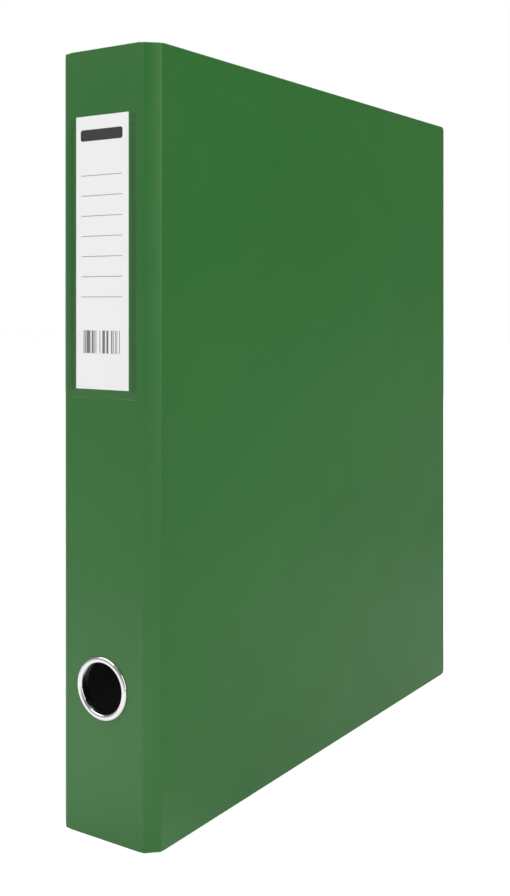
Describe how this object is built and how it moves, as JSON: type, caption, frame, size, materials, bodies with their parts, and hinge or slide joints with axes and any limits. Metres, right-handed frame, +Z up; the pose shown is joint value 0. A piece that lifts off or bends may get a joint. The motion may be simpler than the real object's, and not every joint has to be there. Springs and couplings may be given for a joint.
{
  "type": "lever arch file",
  "caption": "Narrow A4 lever arch file with foil-covered board case, finger ring, label pocket and a working two-arch lever mechanism inside the back cover.",
  "frame": {"origin": "middle of the file's box on the surface it stands on", "axes": "+Z up along the spine, +X towards the front cover through the thickness, +Y from the spine to the open fore edge"},
  "size_m": [0.0509, 0.277, 0.318],
  "materials": {
    "green_foil": "semi-gloss embossed polypropylene foil",
    "greyboard": "raw greyboard",
    "lining_paper": "matt dark lining paper",
    "chrome_ring": "polished chrome plating",
    "ring_washer": "zinc-plated washer",
    "clear_film": "clear welded film",
    "label_card": "white card with grey rules",
    "nickel_steel": "nickel-plated steel",
    "spring_steel": "bare spring wire",
    "roller_plastic": "white nylon"
  },
  "bodies": {
    "back_cover": {"back_board": "greyboard", "back_wrap": "green_foil", "back_lining": "lining_paper", "base_plate": "nickel_steel", "lever_bracket": "nickel_steel", "lever_axle": "nickel_steel", "post_upper": "nickel_steel", "post_lower": "nickel_steel", "arch_springs": "spring_steel", "mechanism_rivets": "nickel_steel", "bracket_rivets": "nickel_steel"},
    "rear_hinge": {"rear_hinge_film": "green_foil", "rear_hinge_lining": "lining_paper"},
    "spine": {"spine_board": "greyboard", "spine_wrap": "green_foil", "spine_lining": "lining_paper", "finger_ring": "chrome_ring", "finger_ring_washer": "ring_washer", "spine_pocket": "clear_film", "spine_label": "label_card"},
    "front_hinge": {"front_hinge_film": "green_foil", "front_hinge_lining": "lining_paper"},
    "front_cover": {"front_board": "greyboard", "front_wrap": "green_foil", "front_lining": "lining_paper"},
    "arches": {"arch_wire": "nickel_steel"},
    "lever": {"lever": "nickel_steel", "roller_pin": "nickel_steel"},
    "roller": {"lever_roller": "roller_plastic"},
    "compressor": {"compressor_bar": "nickel_steel"}
  },
  "joints": [
    {"name": "rear_fold", "type": "hinge", "parent": "back_cover", "child": "rear_hinge", "pos_m": [-0.025, -0.1332, 0], "axis": [0, 0, -1], "range_deg": [0, 45]},
    {"name": "rear_fold_b", "type": "hinge", "parent": "rear_hinge", "child": "spine", "pos_m": [-0.0202, -0.138, 0], "axis": [0, 0, -1], "range_deg": [0, 45]},
    {"name": "front_fold", "type": "hinge", "parent": "spine", "child": "front_hinge", "pos_m": [0.0202, -0.138, 0], "axis": [0, 0, -1], "range_deg": [0, 90]},
    {"name": "front_fold_b", "type": "hinge", "parent": "front_hinge", "child": "front_cover", "pos_m": [0.025, -0.1332, 0], "axis": [0, 0, -1], "range_deg": [0, 90]},
    {"name": "lever_turn", "type": "hinge", "parent": "back_cover", "child": "lever", "pos_m": [-0.0102, -0.09762, 0.159], "axis": [0, 0, 1], "range_deg": [0, 72]},
    {"name": "arch_turn", "type": "hinge", "parent": "back_cover", "child": "arches", "pos_m": [-0.01985, -0.105, 0.159], "axis": [0, 0, -1], "range_deg": [0, 45]},
    {"name": "roller_spin", "type": "hinge", "parent": "lever", "child": "roller", "pos_m": [-0.01537, -0.0995, 0.159], "axis": [0, 0, -1], "range_deg": [0, 73.5]},
    {"name": "compressor_slide", "type": "slide", "parent": "back_cover", "child": "compressor", "axis": [1, 0, 0], "range_m": [0, 0.018]}
  ],
  "couplings": [
    {"joint": "rear_fold_b", "follows": "rear_fold", "ratio": 1},
    {"joint": "front_fold_b", "follows": "front_fold", "ratio": 1},
    {"joint": "arch_turn", "follows": "lever_turn", "ratio": 0.625},
    {"joint": "roller_spin", "follows": "lever_turn", "ratio": 1.02}
  ]
}
